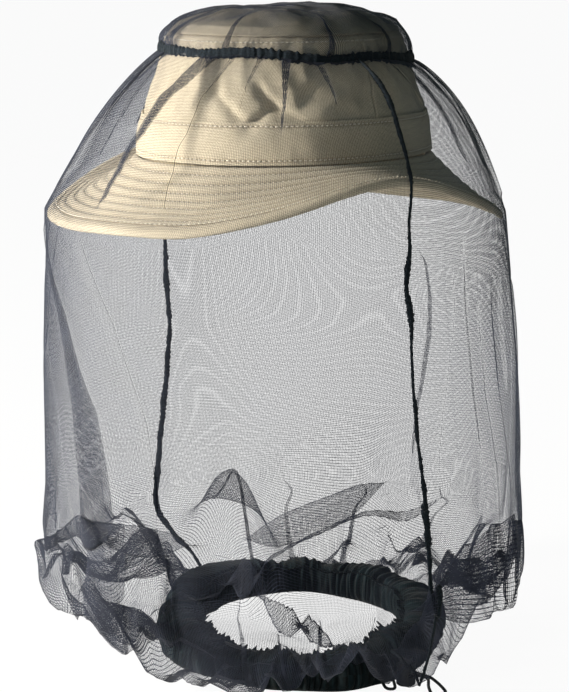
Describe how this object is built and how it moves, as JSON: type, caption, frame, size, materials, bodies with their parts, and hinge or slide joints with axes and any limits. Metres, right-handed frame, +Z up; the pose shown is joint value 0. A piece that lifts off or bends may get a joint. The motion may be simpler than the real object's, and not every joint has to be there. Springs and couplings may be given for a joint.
{
  "type": "beekeeping veil",
  "caption": "Black net veil worn over a cotton bush hat: crown elastic, stiff brim, front and back net panels, side seams, and a gathered collar with drawcord and sprung cord lock.",
  "frame": {"origin": "on the plane that the collar rests on, below the middle of the hat's crown", "axes": "+Z up through the crown; the wearer's face looks towards -Y and the wearer's left is +X"},
  "size_m": [0.3282, 0.3376, 0.448],
  "materials": {
    "hat_cotton": "matt washed cotton twill",
    "hat_lining": "matt plain cotton",
    "net": "fine black see-through net",
    "seam_tape": "fuzzy overlocked black seam",
    "collar_cloth": "gathered black net, several layers thick",
    "elastic": "braided black elastic",
    "lock_plastic": "moulded black plastic",
    "spring_steel": "bright spring wire"
  },
  "bodies": {
    "hat": {"hat_top_panel": "hat_cotton", "hat_crown_front_panel": "hat_cotton", "hat_crown_back_panel": "hat_cotton", "hat_band": "hat_cotton", "hat_sweatband": "hat_lining", "hat_brim_top_ply": "hat_cotton", "hat_brim_interlining": "hat_lining", "hat_brim_bottom_ply": "hat_cotton", "hat_brim_binding": "hat_cotton"},
    "veil": {"crown_elastic_casing": "seam_tape", "crown_elastic": "elastic", "veil_top_panel": "net", "veil_front_panel": "net", "veil_back_panel": "net", "veil_left_seam_tape": "seam_tape", "veil_right_seam_tape": "seam_tape"},
    "collar": {"collar_casing_front": "collar_cloth", "collar_casing_back": "collar_cloth", "collar_drawcord": "elastic"},
    "cord_lock": {"cord_lock_barrel": "lock_plastic", "cord_lock_spring": "spring_steel"},
    "plunger": {"cord_lock_plunger": "lock_plastic"}
  },
  "joints": [
    {"name": "veil_lift", "type": "slide", "parent": "hat", "child": "veil", "axis": [0, 0, 1], "range_m": [0, 0.09]},
    {"name": "collar_lift", "type": "slide", "parent": "veil", "child": "collar", "axis": [0, 0, 1], "range_m": [0, 0.12], "deforming": ["veil_front_panel", "veil_back_panel", "veil_left_seam_tape", "veil_right_seam_tape"]},
    {"name": "cord_lock_slide", "type": "slide", "parent": "collar", "child": "cord_lock", "axis": [0.9848, 0.1736, 0], "range_m": [0, 0.012]},
    {"name": "plunger_press", "type": "slide", "parent": "cord_lock", "child": "plunger", "axis": [0, 0, -1], "range_m": [0, 0.0022], "stiffness_N_per_m": 60, "springref_m": -0.004, "deforming": ["cord_lock_spring"]}
  ]
}
